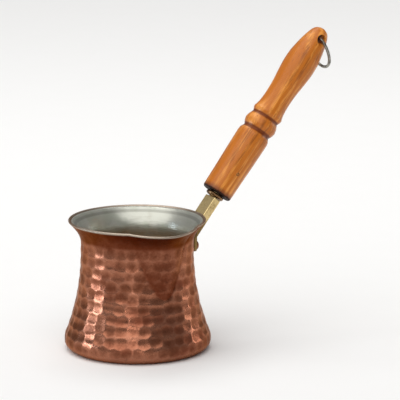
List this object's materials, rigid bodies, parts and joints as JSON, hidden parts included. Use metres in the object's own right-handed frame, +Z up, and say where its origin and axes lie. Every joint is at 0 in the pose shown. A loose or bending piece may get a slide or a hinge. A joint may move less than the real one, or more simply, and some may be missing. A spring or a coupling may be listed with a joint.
{
  "type": "turkish coffee pot",
  "caption": "Small hammered copper coffee pot with a flared lip, a side spout, a tinned inside and a slanted turned wooden handle with a hanging ring.",
  "frame": {"origin": "centre of the pot's flat base, on the surface it stands on", "axes": "+Z up the pot's axis, +X towards the side that the handle rises on, -Y towards the spout"},
  "size_m": [0.1515, 0.0792, 0.161],
  "materials": {
    "hammered_copper": "hammered, darkened copper",
    "tinned_inside": "wiped tin, grey with a warm cast",
    "cast_brass": "cast, dull",
    "rivet_copper": "hammered over",
    "oiled_wood": "turned and oiled",
    "aged_wire": "aged steel wire"
  },
  "bodies": {
    "pot": {"pot_body": "hammered_copper", "tin_lining": "tinned_inside", "handle_bracket": "cast_brass", "rivet_left": "rivet_copper", "rivet_right": "rivet_copper", "handle_collar": "cast_brass", "wooden_handle": "oiled_wood", "handle_pin": "aged_wire"},
    "ring": {"hanging_ring": "aged_wire"}
  },
  "joints": [
    {"name": "ring_swing", "type": "hinge", "parent": "pot", "child": "ring", "pos_m": [0.10734, 0, 0.15502], "axis": [0, 1, 0], "range_deg": [-268, 16]}
  ]
}
